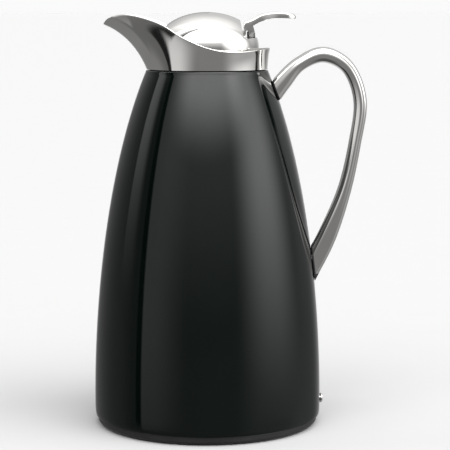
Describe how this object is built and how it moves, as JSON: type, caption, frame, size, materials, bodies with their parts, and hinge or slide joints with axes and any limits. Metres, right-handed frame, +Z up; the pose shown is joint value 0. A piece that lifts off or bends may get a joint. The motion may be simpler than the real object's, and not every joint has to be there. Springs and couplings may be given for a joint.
{
  "type": "thermal carafe",
  "caption": "Double-walled pouring carafe with a tapered dark shell, chrome collar and spout, looped side handle and a screw-in lid opened by a thumb lever.",
  "frame": {"origin": "centre of the base cap's flat underside, on the flask's axis; the twelve feet stand 0.6 mm below it", "axes": "+Z up along the flask's axis, +X towards the handle, -X towards the spout, +Y to the left of someone who looks from the spout to the handle"},
  "size_m": [0.1509, 0.126, 0.228],
  "materials": {
    "dark_lacquer": "gloss",
    "chrome": "polished",
    "steel": "satin",
    "brass": "turned",
    "silvered_glass": "silvered",
    "black_plastic": "fine grain",
    "rubber": "matte",
    "silicone": "matte"
  },
  "bodies": {
    "flask": {"outer_shell": "dark_lacquer", "liner_outer_glass": "silvered_glass", "liner_inner_glass": "silvered_glass", "liner_rim_seal": "silvered_glass", "neck_gasket": "silicone", "liner_cushion": "rubber", "liner_cradle": "black_plastic", "neck_sleeve": "black_plastic", "neck_nut": "black_plastic", "collar_seal": "rubber", "pour_collar": "chrome", "handle": "chrome", "handle_upper_pad": "rubber", "handle_lower_pad": "rubber", "handle_upper_washer": "steel", "handle_upper_screw": "steel", "handle_lower_washer": "steel", "handle_lower_screw": "steel", "base_cap": "black_plastic", "foot_ring": "rubber", "base_screw": "chrome", "base_screw_washer": "rubber", "base_screw_insert": "brass"},
    "lid_carrier": {"stopper_gasket": "silicone"},
    "lid": {"stopper_body": "black_plastic", "lid_dome": "chrome", "lid_insert": "black_plastic", "lid_screw_1": "steel", "lid_screw_2": "steel", "lid_screw_3": "steel", "lever_bracket": "black_plastic", "bracket_screw_1": "steel", "bracket_screw_2": "steel", "lever_pin": "steel", "valve_spring": "steel"},
    "lever": {"thumb_lever": "chrome"},
    "valve": {"valve_rod": "steel", "valve_disc": "black_plastic", "valve_seal": "silicone", "valve_clip": "steel", "valve_cap": "black_plastic"}
  },
  "joints": [
    {"name": "lid_rise", "type": "slide", "parent": "flask", "child": "lid_carrier", "axis": [0, 0, 1], "range_m": [0, 0.04]},
    {"name": "lid_turn", "type": "hinge", "parent": "lid_carrier", "child": "lid", "pos_m": [0, 0, 0.2], "axis": [0, 0, 1], "range_deg": [0, 600.01]},
    {"name": "lever_hinge", "type": "hinge", "parent": "lid", "child": "lever", "pos_m": [0.0246, 0, 0.2153], "axis": [0, 1, 0], "range_deg": [0, 12]},
    {"name": "valve_lift", "type": "slide", "parent": "lid", "child": "valve", "axis": [0, 0, 1], "range_m": [0, 0.00515], "stiffness_N_per_m": 150, "springref_m": -0.008, "deforming": ["valve_spring"]}
  ],
  "couplings": [
    {"joint": "lid_turn", "follows": "lid_rise", "rad_per_m": 261.8},
    {"joint": "lever_hinge", "follows": "valve_lift", "rad_per_m": 40.65}
  ]
}
